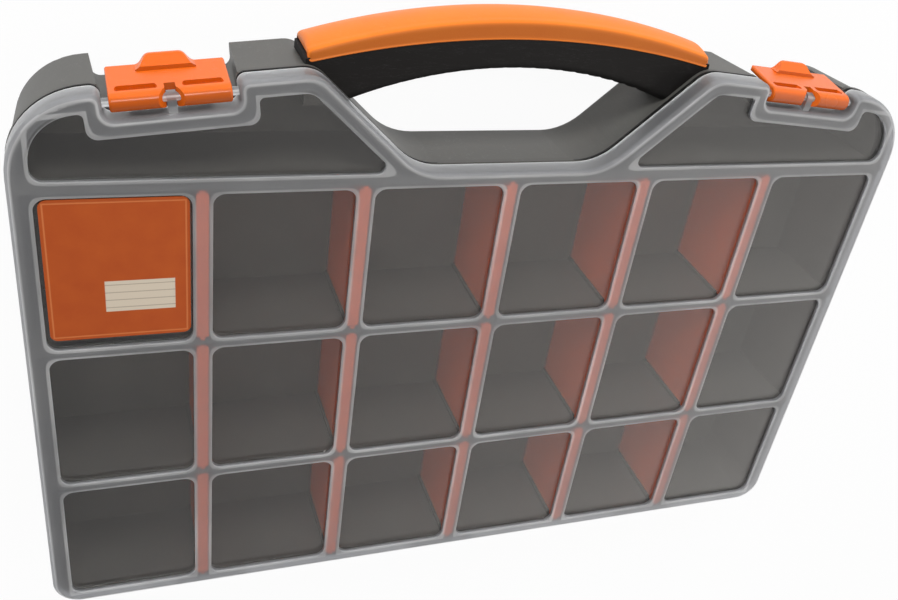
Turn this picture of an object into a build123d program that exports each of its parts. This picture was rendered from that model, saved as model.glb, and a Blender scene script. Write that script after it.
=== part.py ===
from build123d import *
import os
from math import cos, radians, sin, sqrt, tan

# Small parts organizer: a flat carrying case that lies on its back with its clear lid up.
# X runs across the case, +Y points at the handle and +Z comes out through the lid.
# Inside this file Y is measured from the wall between the corner pockets and the first row.
# At the end every piece is moved so that the origin is the bottom centre of the whole part.

# Outline of the case, seen through the lid
CASE_WIDTH = 382.0
CASE_THICKNESS = 50.0
HINGE_CORNER_R = 12.5
TOP_CORNER_R = 31.0
TOP_TILT = 5.7              # degrees that each shoulder falls away from the handle
RECESS_FLOOR = 3.4          # height of the handle recess above the first row's wall
RECESS_DEPTH = 40.7
RECESS_SLOPE = 43.5         # degrees
RECESS_FLOOR_R = 25.0
RECESS_TOP_R = 12.0

# Latch notches in the two shoulders
NOTCH_WIDTH = 46.6
NOTCH_DEPTH = 10.0
NOTCH_FROM_RECESS = 28.7    # along the shoulder, from the recess corner
NOTCH_FROM_SIDE = 32.8      # along the shoulder, from the side of the case
NOTCH_R = 3.5

# Lid
LID_DEPTH = 9.3
LID_EDGE_R = 2.6
SKIRT_T = 1.8
RIB_PLATE_T = 1.6
PANE_T = 1.6
PANE_SINK = 2.0             # how far the panes lie below the ribs
PANE_WALL_T = 1.0           # wall round each sunken pane
PANE_EDGE_R = 0.5
WINDOW_R = 4.7
RIM_SIDE = 8.1              # from the outline to the panes at the left and right
RIM_HINGE = 6.3
RIM_TOP = 6.5
POCKET_PANE_BOTTOM = 4.3
POCKET_PANE_RADII = (3.0, 6.0, 18.0)    # inner foot, top corner, outer corner
POCKET_PANE_NOTCH_RADII = (2.0, 4.0)    # beside the notch and under it

# Grid of compartments
COLUMNS = 6
ROWS = 3
ROW_PITCH = 70.5
LAST_ROW_TO_OUTSIDE = 1.0   # from the last row's pitch line to the side with the hinge
COLUMN_RIB = 7.5
ROW_RIB = 4.6
ROW_WALL_T = 1.8
FIRST_WALL_LOW = 1.0        # first wall, below and above its line
FIRST_WALL_HIGH = 1.3
WALL_TO_LID = 0.5

# Tray
PARTING_GAP = 1.2
FLANGE_H = 2.4
FLANGE_STEP = 0.8
BODY_DRAFT = 3.0            # degrees
CAVITY_DRAFT = 1.5
TONGUE_GAP = 0.3
TONGUE_T = 1.4
TONGUE_H = 6.5
FLOOR_T = 2.4
BACK_EDGE_R = 4.0
BACK_FIELD_DEPTH = 0.8
BACK_FIELD_MARGIN = 16.0
BACK_FIELD_R = 10.0

# Dividers and their guide ribs
DIVIDER_T = 1.8
DIVIDER_BEAD_GAP = 0.4      # from the bead to the lid's pane walls on both sides
DIVIDER_BEAD_H = 4.0
DIVIDER_END_GAP = 0.35
DIVIDER_TO_LID = 0.5
GUIDE_GAP = 0.25
GUIDE_T = 1.2
GUIDE_REACH = 1.6
GUIDE_BELOW_LID = 6.5
GUIDE_ROOT = 0.2            # how far the ribs run into the wall and floor behind them

# Hinge
HINGE_ROD_R = 1.7
RUN_FIT = 0.08
HOOK_R = 3.2
HOOK_TO_CASE = 0.4
HOOK_WIDTH = 26.0
HOOK_MOUTH = 2.9
HINGE_FROM_SIDE = 71.0      # middle of the outer hinges
HINGE_EAR_T = 3.0
HINGE_EAR_R = 2.8
HINGE_EAR_DROP = 10.0
HINGE_EAR_GAP = 0.4

# Latches
LATCH_SIDE_GAP = 2.4        # to the walls of its notch
LATCH_BAR_R = 1.6
LATCH_BARREL_R = 3.6
LATCH_FLOOR_GAP = 1.6
LATCH_PIVOT_DOWN = 4.8      # below the lid's face
LATCH_LENGTH = 17.7         # from the pivot to the free end
LATCH_RISE = 2.2            # how much the plate slopes outwards on that length
LATCH_PLATE_T = 2.3
LATCH_EDGE_R = 0.8
LATCH_SLOT_H = 2.2
LATCH_SLOT_MARGIN = 2.4     # from the slots to both edges of each wing
LATCH_SLOT_DOWN = 1.2       # from the pivot to the middle of the slots
LATCH_SLOT_FLOOR = 0.6      # left between the slots and the bar
LATCH_LUG_T = 3.2
LATCH_LUG_R = 2.4
LATCH_LUG_GAP = 0.3
LATCH_LUG_END = 3.0         # the gap for the lug ends this far past the pivot
LATCH_LUG_FLARE = 2.6       # how much the gap widens on each side at the barrel's crest
LATCH_TAB_BASE = 21.0
LATCH_TAB_TOP = 10.0
LATCH_TAB_H = 4.0
LATCH_TAB_LENGTH = 5.2
LATCH_NOSE_FROM_SIDE = 6.0
LATCH_NOSE_DOWN = 12.8      # from the pivot to the catching face
LATCH_NOSE_T = 2.6
LATCH_NOSE_REACH = 2.8
CATCH_GAP = 0.3
CATCH_T = 1.8
CATCH_OVERLAP = 1.1
CATCH_RIBS = 3
CATCH_RIB_T = 1.8
CATCH_RIB_LENGTH = 3.2

# Handle
HANDLE_WIDTH = 21.5
HANDLE_BELOW_LID = 4.0
HANDLE_LAP = 2.8            # how far the handle lies over each shoulder
HANDLE_RISE = 19.2          # its top above the shoulder corners
HANDLE_T = 21.5
HANDLE_TOP_DROP = 10.0      # fall of the top arc from the middle to near its ends
HANDLE_TOP_FROM_END = 11.0
HANDLE_UNDER_DROP = 12.4    # fall of the lower arc from the middle to the recess slopes
HANDLE_UNDER_FROM_END = 20.0
HANDLE_TOP_R = 4.5
HANDLE_UNDER_R = 3.5
HANDLE_TO_CASE = 0.3
GRIP_H = 7.2                # height of the soft grip at the middle
GRIP_DROP = 10.0            # fall of its lower edge from the middle to near its ends
GRIP_FROM_END = 3.0
GRIP_T = 3.0
GRIP_FIT = 0.1
GROOVE_R = 3.0
GROOVE_DEPTH = 0.6
GROOVE_PITCH = 6.0
GROOVES_FROM_END = 31.0

# Tenons that hold the handle in the tray
TENON_COVER = 5.6           # from the shoulder corner down to the tenon
TENON_HEIGHT = 8.0
TENON_WIDTH = 15.0
TENON_FROM_END = 3.0
SOCKET_FIT = 0.15
SOCKET_WALL = 3.0

# Label card on the first pane
LABEL_T = 0.3
LABEL_R = 3.0
LABEL_LEFT = 1.5            # from the pane's edges to the card
LABEL_RIGHT = 0.8
LABEL_UPPER = 1.2
LABEL_LOWER = 3.7

# Sizes that follow from the ones above
SIDE = CASE_WIDTH / 2
HINGE_SIDE = ROWS * ROW_PITCH + LAST_ROW_TO_OUTSIDE
PANE_WIDTH = (CASE_WIDTH - 2 * RIM_SIDE - (COLUMNS - 1) * COLUMN_RIB) / COLUMNS
COLUMN_PITCH = PANE_WIDTH + COLUMN_RIB
SHOULDER_LENGTH = NOTCH_FROM_RECESS + NOTCH_WIDTH + NOTCH_FROM_SIDE
RECESS_TOP = RECESS_FLOOR + RECESS_DEPTH
RECESS_HALF_TOP = SIDE - SHOULDER_LENGTH * cos(radians(TOP_TILT))
RECESS_HALF_FLOOR = RECESS_HALF_TOP - RECESS_DEPTH / tan(radians(RECESS_SLOPE))
RIB_UNDER = CASE_THICKNESS - RIB_PLATE_T
PANE_TOP = CASE_THICKNESS - PANE_SINK
PANE_UNDER = PANE_TOP - PANE_T
LID_BOTTOM = CASE_THICKNESS - LID_DEPTH
SHOULDER = LID_BOTTOM - PARTING_GAP
TONGUE_TOP = SHOULDER + TONGUE_H
WALL_TOP = RIB_UNDER - WALL_TO_LID
TONGUE_OUT = SKIRT_T + TONGUE_GAP
TONGUE_IN = TONGUE_OUT + TONGUE_T
HINGE_OUT = HOOK_R + HOOK_TO_CASE
HINGE_Y = -HINGE_SIDE - HINGE_OUT
HINGE_Z = LID_BOTTOM - PARTING_GAP / 2
DIVIDER_BEAD_W = COLUMN_RIB - 2 * PANE_WALL_T - 2 * DIVIDER_BEAD_GAP
LATCH_WIDTH = NOTCH_WIDTH - 2 * LATCH_SIDE_GAP
LATCH_NOSE_WIDTH = LATCH_WIDTH - 2 * LATCH_NOSE_FROM_SIDE
PIVOT_UP = LATCH_BARREL_R + LATCH_FLOOR_GAP
PIVOT_Z = CASE_THICKNESS - LATCH_PIVOT_DOWN
LATCH_END_Z = PIVOT_Z - LATCH_LENGTH
LATCH_CREST = PIVOT_UP + LATCH_BARREL_R
LATCH_TOP = LATCH_CREST + LATCH_RISE
LATCH_CATCH = LATCH_CREST + LATCH_RISE * LATCH_NOSE_DOWN / LATCH_LENGTH - LATCH_PLATE_T
HANDLE_MID = LID_BOTTOM - HANDLE_BELOW_LID - HANDLE_WIDTH / 2
HANDLE_HALF_SPAN = RECESS_HALF_TOP + HANDLE_LAP
HANDLE_TOP = RECESS_TOP + HANDLE_RISE
HANDLE_UNDER = HANDLE_TOP - HANDLE_T
HANDLE_UNDER_REACH = HANDLE_HALF_SPAN - HANDLE_UNDER_FROM_END
TENON_HIGH = RECESS_TOP - TENON_COVER
TENON_LOW = TENON_HIGH - TENON_HEIGHT
TENON_END = HANDLE_HALF_SPAN - TENON_FROM_END
ORIGIN_SHIFT = -(HANDLE_TOP + HINGE_Y - HOOK_R) / 2


def shoulder_point(along, inward=0.0):
    """Point on the right shoulder line, measured from the recess corner and into the case."""
    tilt = radians(TOP_TILT)
    x = RECESS_HALF_TOP + along * cos(tilt) - inward * sin(tilt)
    y = RECESS_TOP - along * sin(tilt) - inward * cos(tilt)
    return (x, y)


def right_corners(notched):
    """Corners of the right half of the outline, each with its radius, from the recess round."""
    notch_end = NOTCH_FROM_RECESS + NOTCH_WIDTH
    notch = [
        (shoulder_point(NOTCH_FROM_RECESS), NOTCH_R),
        (shoulder_point(NOTCH_FROM_RECESS, NOTCH_DEPTH), NOTCH_R),
        (shoulder_point(notch_end, NOTCH_DEPTH), NOTCH_R),
        (shoulder_point(notch_end), NOTCH_R),
    ]
    return [
        ((RECESS_HALF_FLOOR, RECESS_FLOOR), RECESS_FLOOR_R),
        ((RECESS_HALF_TOP, RECESS_TOP), RECESS_TOP_R),
        *(notch if notched else []),
        (shoulder_point(SHOULDER_LENGTH), TOP_CORNER_R),
        ((SIDE, -HINGE_SIDE), HINGE_CORNER_R),
    ]


def rounded_face(corners):
    """Face with a radius at each corner, less where two rounds would meet on a short wall."""
    points = [Vector(*point) for point, radius in corners]
    count = len(points)
    walls = [points[(i + 1) % count] - points[i] for i in range(count)]
    reach = []
    for i, (point, radius) in enumerate(corners):
        turn = walls[i - 1].get_angle(walls[i])
        reach.append(radius * tan(radians(turn / 2)))
    room = [0.98 * walls[i].length / (reach[i] + reach[(i + 1) % count]) for i in range(count)]
    radii = [radius * min(1, room[i - 1], room[i]) for i, (point, radius) in enumerate(corners)]
    return make_face(FilletPolyline(*points, radius=radii, close=True))


def case_outline(grow=0.0, notched=True):
    """Face of the case outline, grown or, below zero, shrunk all round."""
    right = right_corners(notched)
    left = [((-x, y), r) for (x, y), r in reversed(right)]
    face = rounded_face(right + left)
    if grow == 0:
        return face
    return offset(face, amount=grow, kind=Kind.INTERSECTION)


def slab(face, low, high):
    """Straight prism of a flat face between two heights."""
    return extrude(Pos(0, 0, low) * face, high - low)


def drafted_slab(face, low, high, draft):
    """Prism of a flat face that gets smaller downwards, as a moulding does."""
    block = extrude(face, high - low, taper=draft)
    return Pos(0, 0, high) * mirror(block, about=Plane.XY)


def x_prism(face, start, end):
    """Prism along X of a face drawn in Y and Z."""
    return extrude(Pos(start, 0, 0) * (Plane.YZ * face), end - start)


def x_bar(radius, length, y, z):
    """Round bar along X, centred on x = 0."""
    return Pos(0, y, z) * Rot(0, 90, 0) * Cylinder(radius, length)


def block(x, y, z):
    """Box between two values on each axis."""
    centre = ((x[0] + x[1]) / 2, (y[0] + y[1]) / 2, (z[0] + z[1]) / 2)
    return Pos(*centre) * Box(x[1] - x[0], y[1] - y[0], z[1] - z[0])


def arc_height(middle, drop, reach, x):
    """Height at x of the arc over x = 0 that falls by a drop within a reach."""
    radius = (reach ** 2 + drop ** 2) / (2 * drop)
    return middle - radius + sqrt(radius ** 2 - x ** 2)


def arc_over(middle, drop, reach, half_span):
    """That arc, drawn to a half span on both sides."""
    end = arc_height(middle, drop, reach, half_span)
    return ThreePointArc((-half_span, end), (0, middle), (half_span, end))


def column_lines():
    """X of each line between two columns."""
    return [(i - COLUMNS / 2) * COLUMN_PITCH for i in range(1, COLUMNS)]


def row_lines():
    """Y of the wall at the top of each row."""
    return [-ROW_PITCH * i for i in range(ROWS)]


def windows():
    """Faces of the eighteen panes, row by row."""
    panes = []
    for row, line in enumerate(row_lines()):
        top = line - ROW_RIB / 2
        bottom = line - ROW_PITCH + ROW_RIB / 2
        if row == ROWS - 1:
            bottom = -HINGE_SIDE + RIM_HINGE
        for column in range(COLUMNS):
            x = (column - (COLUMNS - 1) / 2) * COLUMN_PITCH
            pane = RectangleRounded(PANE_WIDTH, top - bottom, WINDOW_R)
            panes.append(Pos(x, (top + bottom) / 2) * pane)
    return panes


def pocket_window(side):
    """Pane over a corner pocket: it follows the outline, drawn in by the rim."""
    tilt = radians(TOP_TILT)
    slope = radians(RECESS_SLOPE)
    reach = SIDE - RIM_SIDE
    notch_start = NOTCH_FROM_RECESS - RIM_TOP
    notch_end = NOTCH_FROM_RECESS + NOTCH_WIDTH + RIM_TOP
    notch_floor = NOTCH_DEPTH + RIM_TOP
    top_x, top_y = shoulder_point(RIM_TOP * tan((tilt + slope) / 2), RIM_TOP)
    foot_x = top_x - (top_y - POCKET_PANE_BOTTOM) / tan(slope)
    to_side = (reach - RECESS_HALF_TOP + RIM_TOP * sin(tilt)) / cos(tilt)
    foot_r, top_r, outer_r = POCKET_PANE_RADII
    edge_r, inner_r = POCKET_PANE_NOTCH_RADII
    corners = [
        ((foot_x, POCKET_PANE_BOTTOM), foot_r),
        ((top_x, top_y), top_r),
        (shoulder_point(notch_start, RIM_TOP), edge_r),
        (shoulder_point(notch_start, notch_floor), inner_r),
        (shoulder_point(notch_end, notch_floor), inner_r),
        (shoulder_point(notch_end, RIM_TOP), edge_r),
        (shoulder_point(to_side, RIM_TOP), outer_r),
        ((reach, POCKET_PANE_BOTTOM), WINDOW_R),
    ]
    return rounded_face([((side * x, y), radius) for (x, y), radius in corners])


def all_windows():
    """All twenty panes."""
    return windows() + [pocket_window(-1), pocket_window(1)]


def notch_place(side):
    """Place of a latch notch: X along the shoulder, Y out of the notch's floor, Z up."""
    x, y = shoulder_point(NOTCH_FROM_RECESS + NOTCH_WIDTH / 2, NOTCH_DEPTH)
    return Location((side * x, y, 0), (0, 0, -side * TOP_TILT))


def hinge_stations():
    """X of the three hinges."""
    return (HINGE_FROM_SIDE - SIDE, 0, SIDE - HINGE_FROM_SIDE)


def hinge_hook():
    """Snap hook of the lid round the tray's rod, open downwards."""
    half = HOOK_WIDTH / 2
    arm = Pos(HINGE_Y + (HINGE_OUT + SKIRT_T / 2) / 2, (LID_BOTTOM + HINGE_Z + HOOK_R) / 2)
    arm = arm * Rectangle(HINGE_OUT + SKIRT_T / 2, HINGE_Z + HOOK_R - LID_BOTTOM)
    ring = Pos(HINGE_Y, HINGE_Z) * Circle(HOOK_R)
    bore = Pos(HINGE_Y, HINGE_Z) * Circle(HINGE_ROD_R + RUN_FIT)
    mouth = Pos(HINGE_Y, HINGE_Z - HOOK_R / 2) * Rectangle(HOOK_MOUTH, HOOK_R)
    return x_prism(ring + arm - bore - mouth, -half, half)


def hinge_ears():
    """Two ears on the tray with a rod moulded between them."""
    wall = -HINGE_SIDE + FLANGE_STEP + SKIRT_T / 2
    web = make_face(Polyline(
        (HINGE_Y - HINGE_EAR_R, HINGE_Z), (HINGE_Y - HINGE_EAR_R, HINGE_Z - 1),
        (wall, HINGE_Z - HINGE_EAR_DROP), (wall, SHOULDER),
        (HINGE_Y + HINGE_EAR_R, SHOULDER), (HINGE_Y + HINGE_EAR_R, HINGE_Z), close=True))
    profile = web + Pos(HINGE_Y, HINGE_Z) * Circle(HINGE_EAR_R)
    inner = HOOK_WIDTH / 2 + HINGE_EAR_GAP
    outer = inner + HINGE_EAR_T
    rod = x_bar(HINGE_ROD_R, 2 * inner + HINGE_EAR_T, HINGE_Y, HINGE_Z)
    return x_prism(profile, inner, outer) + x_prism(profile, -outer, -inner) + rod


def latch_bar():
    """Clear bar across a notch, with the lug in its middle."""
    bar = x_bar(LATCH_BAR_R, NOTCH_WIDTH + SKIRT_T, PIVOT_UP, PIVOT_Z)
    foot = -SKIRT_T / 2
    stem = Pos((PIVOT_UP + foot) / 2, PIVOT_Z) * Rectangle(PIVOT_UP - foot, 2 * LATCH_LUG_R)
    eye = Pos(PIVOT_UP, PIVOT_Z) * Circle(LATCH_LUG_R)
    return bar + x_prism(stem + eye, -LATCH_LUG_T / 2, LATCH_LUG_T / 2)


def make_lid():
    """Clear lid: plate, skirt, sunken panes, latch bars and hinge hooks."""
    lid = slab(case_outline(), LID_BOTTOM, CASE_THICKNESS)
    lid = fillet(lid.edges().group_by(Axis.Z)[-1], LID_EDGE_R)
    lid -= slab(case_outline(-SKIRT_T), LID_BOTTOM, RIB_UNDER)
    panes = all_windows()
    trays = [offset(pane, amount=PANE_WALL_T) for pane in panes]
    lid += [slab(tray, PANE_UNDER, RIB_UNDER + RIB_PLATE_T / 2) for tray in trays]
    lid -= [slab(pane, PANE_TOP, CASE_THICKNESS) for pane in panes]
    lid = fillet(pane_edges(lid), PANE_EDGE_R)
    lid += [Pos(x, 0, 0) * hinge_hook() for x in hinge_stations()]
    lid += [notch_place(side) * latch_bar() for side in (-1, 1)]
    return lid


def pane_edges(lid):
    """Upper edges of the sunken panes: all top edges except the two round the lid."""
    top_faces = lid.faces().filter_by(Axis.Z).sort_by(Axis.Z)
    return [edge for wire in top_faces[-1].inner_wires() for edge in wire.edges()]


def tray_solid():
    """Outside of the tray: drafted wall, flange at the shoulder and rounded back edge."""
    outline = case_outline(-FLANGE_STEP, notched=False)
    wall = drafted_slab(outline, 0, SHOULDER - FLANGE_H / 2, BODY_DRAFT)
    wall = fillet(wall.edges().group_by(Axis.Z)[0], BACK_EDGE_R)
    wall -= [notch_place(side) * notch_room() for side in (-1, 1)]
    return wall + slab(case_outline(), SHOULDER - FLANGE_H, SHOULDER)


def notch_room():
    """Space of a latch notch beside the tray's wall, wider towards the back."""
    top = SHOULDER - FLANGE_H / 2
    grow = FLANGE_STEP + top * tan(radians(BODY_DRAFT))
    height = NOTCH_DEPTH + 2 * grow
    face = Pos(0, height / 2 - grow) * RectangleRounded(NOTCH_WIDTH + 2 * grow, height, NOTCH_R)
    room = extrude(face, top, taper=BODY_DRAFT)
    return room + Pos(0, NOTCH_DEPTH, top / 2) * Box(NOTCH_WIDTH + 2 * FLANGE_STEP, NOTCH_DEPTH, top)


def handle_clearance():
    """The tray's drafted wall, grown by the gap that the handle keeps from it."""
    outline = case_outline(HANDLE_TO_CASE - FLANGE_STEP, notched=False)
    return drafted_slab(outline, 0, SHOULDER - FLANGE_H / 2, BODY_DRAFT)


def row_walls():
    """Fixed walls between the rows, up into the channels between the lid's panes."""
    reach = SIDE - TONGUE_OUT - TONGUE_T / 2
    walls = []
    for index, y in enumerate(row_lines()):
        low = FIRST_WALL_LOW if index == 0 else ROW_WALL_T / 2
        high = FIRST_WALL_HIGH if index == 0 else ROW_WALL_T / 2
        walls.append(block((-reach, reach), (y - low, y + high), (FLOOR_T / 2, WALL_TOP)))
    return walls


def row_ends():
    """The two Y values between which each row's dividers stand, at the floor."""
    low_side = -HINGE_SIDE + TONGUE_IN + (TONGUE_TOP - FLOOR_T) * tan(radians(CAVITY_DRAFT))
    ends = []
    for index, y in enumerate(row_lines()):
        top = y - (FIRST_WALL_LOW if index == 0 else ROW_WALL_T / 2)
        bottom = low_side if index == ROWS - 1 else y - ROW_PITCH + ROW_WALL_T / 2
        ends.append((bottom, top))
    return ends


def guide_ribs():
    """Pairs of ribs that each divider slides between, at both its ends."""
    high = RIB_UNDER - GUIDE_BELOW_LID
    z = (FLOOR_T - GUIDE_ROOT, high)
    across = DIVIDER_T / 2 + GUIDE_GAP
    lean = (high - FLOOR_T) * tan(radians(CAVITY_DRAFT))
    ribs = []
    for row, (bottom, top) in enumerate(row_ends()):
        root = GUIDE_ROOT + (lean if row == ROWS - 1 else 0)
        for x in column_lines():
            for side in (-1, 1):
                span = sorted((x + side * across, x + side * (across + GUIDE_T)))
                ribs.append(block(span, (bottom - root, bottom + GUIDE_REACH), z))
                ribs.append(block(span, (top - GUIDE_REACH, top + GUIDE_ROOT), z))
    return ribs


def catch_ledge():
    """Ledge in a latch notch that the latch's nose hooks under, with its ribs."""
    top_z = PIVOT_Z - LATCH_NOSE_DOWN + CATCH_GAP + CATCH_T
    height = LATCH_CATCH - LATCH_NOSE_REACH + CATCH_OVERLAP
    foot = -(FLANGE_STEP + 1)
    half = LATCH_NOSE_WIDTH / 2
    parts = [block((-half, half), (foot, height), (top_z - CATCH_T, top_z))]
    rib = make_face(Polyline(
        (foot, top_z - CATCH_T), (height, top_z - CATCH_T), (height, top_z),
        (foot, top_z + CATCH_RIB_LENGTH), close=True))
    for index in range(CATCH_RIBS):
        x = (index / (CATCH_RIBS - 1) - 0.5) * (LATCH_NOSE_WIDTH - CATCH_RIB_T)
        parts.append(x_prism(rib, x - CATCH_RIB_T / 2, x + CATCH_RIB_T / 2))
    return parts[0] + parts[1:]


def tenon(side, grow=0.0):
    """End block of the handle inside the tray's slope wall."""
    half = TENON_WIDTH / 2 + grow
    x = sorted((side * HANDLE_UNDER_REACH, side * (TENON_END + grow)))
    z = (HANDLE_MID - half, HANDLE_MID + half)
    return block(x, (TENON_LOW - grow, TENON_HIGH + grow), z)


def socket_boss(side):
    """Thick place in the slope wall round a tenon."""
    wall = SOCKET_FIT + SOCKET_WALL
    x = sorted((side * HANDLE_UNDER_REACH / 2, side * (TENON_END + wall)))
    top = HANDLE_MID + TENON_WIDTH / 2 + wall
    return block(x, (TENON_LOW - wall, HANDLE_TOP), (FLOOR_T / 2, top))


def make_case_body():
    """Dark tray: outside, cavity, row walls, guides, ears, ledges and handle sockets."""
    outside = tray_solid()
    tongue = slab(case_outline(-TONGUE_OUT), SHOULDER - FLANGE_H, TONGUE_TOP)
    wall_room = outside + slab(case_outline(-TONGUE_OUT), SHOULDER - FLANGE_H, WALL_TOP)
    cavity = drafted_slab(case_outline(-TONGUE_IN), FLOOR_T, TONGUE_TOP, CAVITY_DRAFT)
    inside = row_walls() + guide_ribs() + [socket_boss(side) for side in (-1, 1)]
    body = outside + tongue - cavity
    for part in inside[:ROWS]:
        body += part & wall_room
    body += inside[ROWS:-2]
    for part in inside[-2:]:
        body += part & outside
    body -= [tenon(side, SOCKET_FIT) for side in (-1, 1)]
    body += [Pos(x, 0, 0) * hinge_ears() for x in hinge_stations()]
    body += [notch_place(side) * catch_ledge() for side in (-1, 1)]
    return body - back_field()


def back_field():
    """Shallow field in the flat back, so that the case rests on a flat border."""
    width = CASE_WIDTH - 2 * BACK_FIELD_MARGIN
    length = HINGE_SIDE - 2 * BACK_FIELD_MARGIN
    field = RectangleRounded(width, length, BACK_FIELD_R)
    return slab(Pos(0, -HINGE_SIDE / 2) * field, 0, BACK_FIELD_DEPTH)


def latch_section():
    """Latch seen from its end: barrel round the bar and sloping plate down to the free end."""
    barrel = Pos(PIVOT_UP, PIVOT_Z) * Circle(LATCH_BARREL_R)
    plate = make_face(Polyline(
        (LATCH_CREST, PIVOT_Z), (LATCH_TOP, LATCH_END_Z), (LATCH_TOP - LATCH_PLATE_T, LATCH_END_Z),
        (LATCH_CREST - LATCH_PLATE_T, PIVOT_Z), close=True))
    return barrel + plate


def latch_nose():
    """Nose under the plate that hooks behind the tray's ledge."""
    top = PIVOT_Z - LATCH_NOSE_DOWN
    half = LATCH_NOSE_WIDTH / 2
    reach = (LATCH_CATCH - LATCH_NOSE_REACH, LATCH_CATCH + LATCH_PLATE_T / 2)
    return block((-half, half), reach, (top - LATCH_NOSE_T, top))


def latch_tab():
    """Raised thumb tab at the free end."""
    base = LATCH_TAB_BASE / 2
    top = LATCH_TAB_TOP / 2
    foot = LATCH_TOP - LATCH_PLATE_T / 2
    high = LATCH_TOP + LATCH_TAB_H
    side = Spline((-base, LATCH_TOP), (-top, high), tangents=((1, 0.15), (1, 0.05)))
    cap = Line((-top, high), (top, high))
    other = Spline((top, high), (base, LATCH_TOP), tangents=((1, -0.05), (1, -0.15)))
    bottom = Polyline((base, LATCH_TOP), (base, foot), (-base, foot), (-base, LATCH_TOP))
    face = make_face(Curve() + [side, cap, other, bottom])
    return slab(face, LATCH_END_Z, LATCH_END_Z + LATCH_TAB_LENGTH)


def lug_gap(half):
    """Gap between the two barrels for the bar's lug, flared towards the lid's face."""
    low = PIVOT_Z - LATCH_LUG_END
    crest = PIVOT_Z + LATCH_BARREL_R
    wide = half + LATCH_LUG_FLARE
    right = [(half, low), (half, PIVOT_Z), (wide, crest), (wide, crest + 1)]
    left = [(-x, z) for x, z in reversed(right)]
    face = make_face(Polyline(*right, *left, close=True))
    return extrude(Plane.XZ * face, -(LATCH_TOP + 1))


def make_latch(side):
    """Snap latch: two barrels on the bar, plate with slots, thumb tab and nose."""
    half = LATCH_WIDTH / 2
    latch = x_prism(latch_section(), -half, half)
    ends = [edge for edge in latch.edges() if abs(abs(edge.center().X) - half) < 0.01]
    latch = fillet(ends, LATCH_EDGE_R)
    latch += latch_tab() + latch_nose()
    gap = LATCH_LUG_T / 2 + LATCH_LUG_GAP
    latch -= lug_gap(gap)
    width = half - gap - 2 * LATCH_SLOT_MARGIN
    middle = (half + gap) / 2
    slot_z = PIVOT_Z - LATCH_SLOT_DOWN
    for x in (-middle, middle):
        slot = RectangleRounded(width, LATCH_SLOT_H, LATCH_SLOT_H / 2 - 0.01)
        slot = Plane.XZ * Pos(x, slot_z) * slot
        floor = PIVOT_UP + LATCH_BAR_R + LATCH_SLOT_FLOOR
        latch -= extrude(Pos(0, floor, 0) * slot, -LATCH_TOP)
    latch -= x_bar(LATCH_BAR_R + RUN_FIT, LATCH_WIDTH, PIVOT_UP, PIVOT_Z)
    return notch_place(side) * latch


def handle_solid():
    """Whole arched handle before it is split into bar and grip."""
    span = HANDLE_HALF_SPAN
    top = arc_over(HANDLE_TOP, HANDLE_TOP_DROP, span - HANDLE_TOP_FROM_END, span)
    under = arc_over(HANDLE_UNDER, HANDLE_UNDER_DROP, HANDLE_UNDER_REACH, span)
    ends = [Line(top @ 1, under @ 1), Line(under @ 0, top @ 0)]
    face = make_face(Curve() + [top, under] + ends)
    low = HANDLE_MID - HANDLE_WIDTH / 2
    bar = slab(face, low, low + HANDLE_WIDTH)
    bar = fillet(arc_edges(bar, HANDLE_TOP), HANDLE_TOP_R)
    bar = fillet(arc_edges(bar, HANDLE_UNDER), HANDLE_UNDER_R)
    half_count = int((HANDLE_HALF_SPAN - GROOVES_FROM_END) / GROOVE_PITCH)
    grooves = [groove(index * GROOVE_PITCH) for index in range(-half_count, half_count + 1)]
    return bar - handle_clearance() - grooves


def arc_edges(bar, height):
    """The two long edges of the bar that pass over x = 0 at a height."""
    return [e for e in bar.edges() if e.geom_type == GeomType.CIRCLE and abs((e @ 0.5).Y - height) < 0.01]


def groove(x):
    """Round finger groove across the underside of the handle."""
    y = arc_height(HANDLE_UNDER, HANDLE_UNDER_DROP, HANDLE_UNDER_REACH, x)
    return Pos(x, y + GROOVE_DEPTH - GROOVE_R, HANDLE_MID) * Cylinder(GROOVE_R, HANDLE_WIDTH + 2)


def grip_zone(gap):
    """Room of the soft grip: above its lower edge and outside the bar's raised middle."""
    low = HANDLE_TOP - GRIP_H + gap
    low = arc_over(low, GRIP_DROP, HANDLE_HALF_SPAN - GRIP_FROM_END, HANDLE_HALF_SPAN + 1)
    high = Line(low @ 0 + (0, 2 * HANDLE_TOP), low @ 1 + (0, 2 * HANDLE_TOP))
    sides = [Line(low @ 0, high @ 0), Line(low @ 1, high @ 1)]
    zone = slab(make_face(Curve() + [low, high] + sides), 0, CASE_THICKNESS)
    span = HANDLE_HALF_SPAN - GRIP_T + gap
    reach = HANDLE_HALF_SPAN - HANDLE_TOP_FROM_END
    top = arc_over(HANDLE_TOP - GRIP_T + gap, HANDLE_TOP_DROP, reach, span)
    sides = [Line(top @ 1, (span, 0)), Line((span, 0), (-span, 0)), Line((-span, 0), top @ 0)]
    face = make_face(Curve() + [top] + sides)
    half = HANDLE_WIDTH / 2 - GRIP_T + gap
    return zone - slab(face, HANDLE_MID - half, HANDLE_MID + half)


def make_handle_core(whole):
    """Black arched bar with a tenon at each end."""
    core = whole - grip_zone(0)
    return core + [tenon(side) for side in (-1, 1)]


def make_handle_grip(whole):
    """Soft cap over the top and the upper sides of the bar."""
    return whole & grip_zone(GRIP_FIT)


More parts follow.
